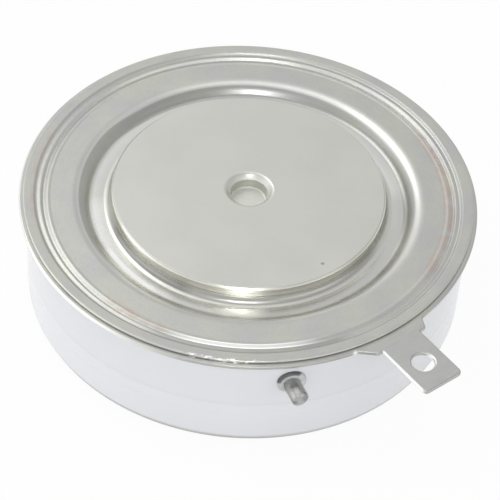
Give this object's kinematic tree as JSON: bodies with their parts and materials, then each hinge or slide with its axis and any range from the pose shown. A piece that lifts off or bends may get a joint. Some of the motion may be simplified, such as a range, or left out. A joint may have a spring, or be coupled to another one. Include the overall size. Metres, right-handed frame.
{
  "type": "press-pack thyristor",
  "caption": "Flat ceramic capsule thyristor, clamped between heat sinks, with a gate tube in its side and an auxiliary cathode tab.",
  "frame": {"origin": "centre of the anode contact face", "axes": "+Z along the capsule's axis, from the anode contact face to the cathode contact face. The gate tube leaves the ceramic 13.5 degrees from -Y towards +X and is bent on to 26.5 degrees, and the tab points at 39.7 degrees"},
  "size_m": [0.0584, 0.0603, 0.0161],
  "materials": {
    "pole_plating": "nickel plated copper, smooth satin, faintly warm",
    "flange_plating": "nickel plated sheet, matte with a fine grain, bright where it is bent",
    "braze": "silver-copper braze, dull pink-grey",
    "glazed_alumina": "cool white glaze, glossy",
    "gate_nickel": "nickel tube, dull grey with a bright spot",
    "gate_braze": "dark oxidised braze",
    "silver": "fine silver, soft shine",
    "insulator": "white fluoropolymer, matte",
    "spring_steel": "plain spring steel",
    "molybdenum": "ground molybdenum, satin grey",
    "silicon": "lapped silicon, dark grey",
    "seal_rubber": "silicone rubber, red-brown"
  },
  "bodies": {
    "root": {"cathode_pole": "pole_plating", "cathode_pole_braze": "pole_plating", "cathode_lid": "flange_plating", "weld_flange": "flange_plating", "upper_ceramic_braze": "braze", "ceramic_ring": "glazed_alumina", "lower_ceramic_braze": "braze", "anode_flange": "flange_plating", "anode_pole_braze": "pole_plating", "anode_pole": "pole_plating", "gate_tube": "gate_nickel", "gate_braze_collar": "gate_braze", "gate_wire": "silver", "gate_sleeve": "insulator", "gate_cap": "insulator", "gate_spring": "spring_steel", "gate_washer": "insulator", "gate_guide": "insulator", "cathode_moly_disc": "molybdenum", "cathode_silver_foil": "silver", "silicon_wafer": "silicon", "edge_seal": "seal_rubber", "anode_moly_disc": "molybdenum", "anode_silver_foil": "silver", "locating_ring": "insulator"}
  },
  "joints": []
}
